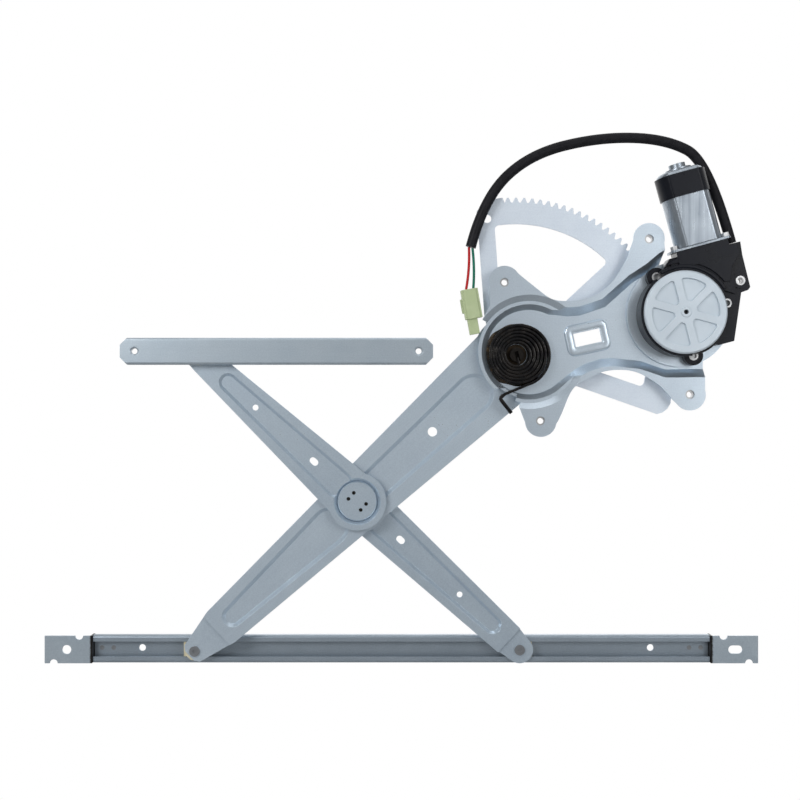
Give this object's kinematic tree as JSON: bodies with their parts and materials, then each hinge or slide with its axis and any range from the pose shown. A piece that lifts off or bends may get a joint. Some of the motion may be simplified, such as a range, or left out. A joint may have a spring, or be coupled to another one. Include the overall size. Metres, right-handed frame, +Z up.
{
  "type": "window regulator",
  "caption": "Powered crossed-arm window regulator that raises and lowers a car door's glass by a motor, a toothed sector and two linked arms.",
  "frame": {"origin": "on the lift arm's pivot axis, in the plane of the door's inner panel that the ears are bolted to", "axes": "+X to the right along the door as seen from the cabin, +Z up, +Y from the cabin towards the glass"},
  "size_m": [0.6128, 0.0612, 0.4517],
  "materials": {
    "plate_zinc": "light bluish zinc, satin",
    "sector_zinc": "light zinc, satin",
    "arm_zinc": "grey-blue zinc, satin",
    "rail_zinc": "grey zinc, satin",
    "bright_steel": "plated steel",
    "gear_steel": "hardened steel, oiled",
    "spring_steel": "dark spring steel with grease",
    "bronze": "sintered bronze",
    "cast_cover": "cast, light grey",
    "can_zinc": "bright satin zinc",
    "ferrite": "dark ceramic magnet",
    "rotor_steel": "laminated steel with windings",
    "copper": "copper bars",
    "brown_plastic": "hard brown plastic",
    "black_plastic": "black, slight sheen",
    "white_nylon": "natural nylon",
    "cable_sleeve": "black sleeve",
    "red_wire": "red insulation",
    "green_wire": "dark green insulation",
    "plug_plastic": "milky yellow-green"
  },
  "bodies": {
    "base": {"base_plate": "plate_zinc", "ear_weld_nuts": "bright_steel", "counterbalance_spring": "spring_steel", "pivot_bush": "bronze", "gear_housing": "black_plastic", "gear_cover": "cast_cover", "motor_can": "can_zinc", "motor_magnets": "ferrite", "brush_card": "brown_plastic", "motor_flange": "black_plastic", "flange_screws": "bright_steel", "motor_mount_screws": "bright_steel", "insert_sleeves": "bright_steel", "harness_band": "black_plastic", "harness_sleeve": "cable_sleeve", "red_wire": "red_wire", "green_wire": "green_wire", "connector": "plug_plastic"},
    "main_arm": {"lift_arm": "arm_zinc", "sector_gear": "sector_zinc", "sector_rivets": "bright_steel", "pivot_shaft": "bright_steel", "left_shoe_pin": "bright_steel"},
    "balance_arm": {"balance_arm_upper": "arm_zinc", "balance_arm_lower": "arm_zinc", "centre_bush": "bright_steel", "centre_disc": "bright_steel", "centre_rivets": "bright_steel", "front_washer": "white_nylon", "rear_washer": "white_nylon", "upper_shoe_pin": "bright_steel", "right_shoe_pin": "bright_steel"},
    "upper_shoe": {"upper_shoe": "white_nylon"},
    "left_shoe": {"left_shoe": "white_nylon"},
    "right_shoe": {"right_shoe": "white_nylon"},
    "upper_rail": {"upper_rail": "rail_zinc", "upper_rail_nuts": "bright_steel"},
    "glass_rail": {"glass_rail": "rail_zinc", "left_end_bracket": "rail_zinc", "right_end_bracket": "rail_zinc", "rail_rivets": "bright_steel"},
    "output_gear": {"output_pinion": "gear_steel", "output_shaft": "bright_steel", "worm_wheel": "white_nylon"},
    "rotor": {"worm_shaft": "bright_steel", "armature": "rotor_steel", "commutator": "copper"}
  },
  "joints": [
    {"name": "lift", "type": "hinge", "parent": "base", "child": "main_arm", "pos_m": [0, 0, 0], "axis": [0, 1, 0], "range_deg": [-5, 76], "deforming": ["counterbalance_spring"]},
    {"name": "balance", "type": "hinge", "parent": "main_arm", "child": "balance_arm", "pos_m": [-0.13449, 0, -0.1241], "axis": [0, 1, 0], "range_deg": [-152.5, 10.5]},
    {"name": "upper_shoe_turn", "type": "hinge", "parent": "balance_arm", "child": "upper_shoe", "pos_m": [-0.26898, 0, 0], "axis": [0, 1, 0], "range_deg": [-5.5, 76.5]},
    {"name": "right_shoe_turn", "type": "hinge", "parent": "balance_arm", "child": "right_shoe", "pos_m": [0.00441, 0, -0.25228], "axis": [0, 1, 0], "range_deg": [-5.5, 76.5]},
    {"name": "left_shoe_turn", "type": "hinge", "parent": "main_arm", "child": "left_shoe", "pos_m": [-0.27339, 0, -0.25228], "axis": [0, 1, 0], "range_deg": [-76.5, 5.5]},
    {"name": "glass_rail_slide", "type": "slide", "parent": "left_shoe", "child": "glass_rail", "axis": [1, 0, 0], "range_m": [-0.05, 0.07]},
    {"name": "upper_rail_slide", "type": "slide", "parent": "upper_shoe", "child": "upper_rail", "axis": [1, 0, 0], "range_m": [-0.15, 0.002]},
    {"name": "output_turn", "type": "hinge", "parent": "base", "child": "output_gear", "pos_m": [0.13762, 0, 0.03457], "axis": [0, 1, 0], "range_deg": [-1018.3, 71.7]},
    {"name": "rotor_spin", "type": "hinge", "parent": "base", "child": "rotor", "pos_m": [0.1515, -0.005, 0.09], "axis": [-0.2622, 0, 0.965], "continuous": true}
  ],
  "couplings": [
    {"joint": "balance", "follows": "lift", "ratio": -2},
    {"joint": "upper_shoe_turn", "follows": "lift", "ratio": 1},
    {"joint": "right_shoe_turn", "follows": "lift", "ratio": 1},
    {"joint": "left_shoe_turn", "follows": "lift", "ratio": -1},
    {"joint": "output_turn", "follows": "lift", "ratio": -13.333}
  ]
}
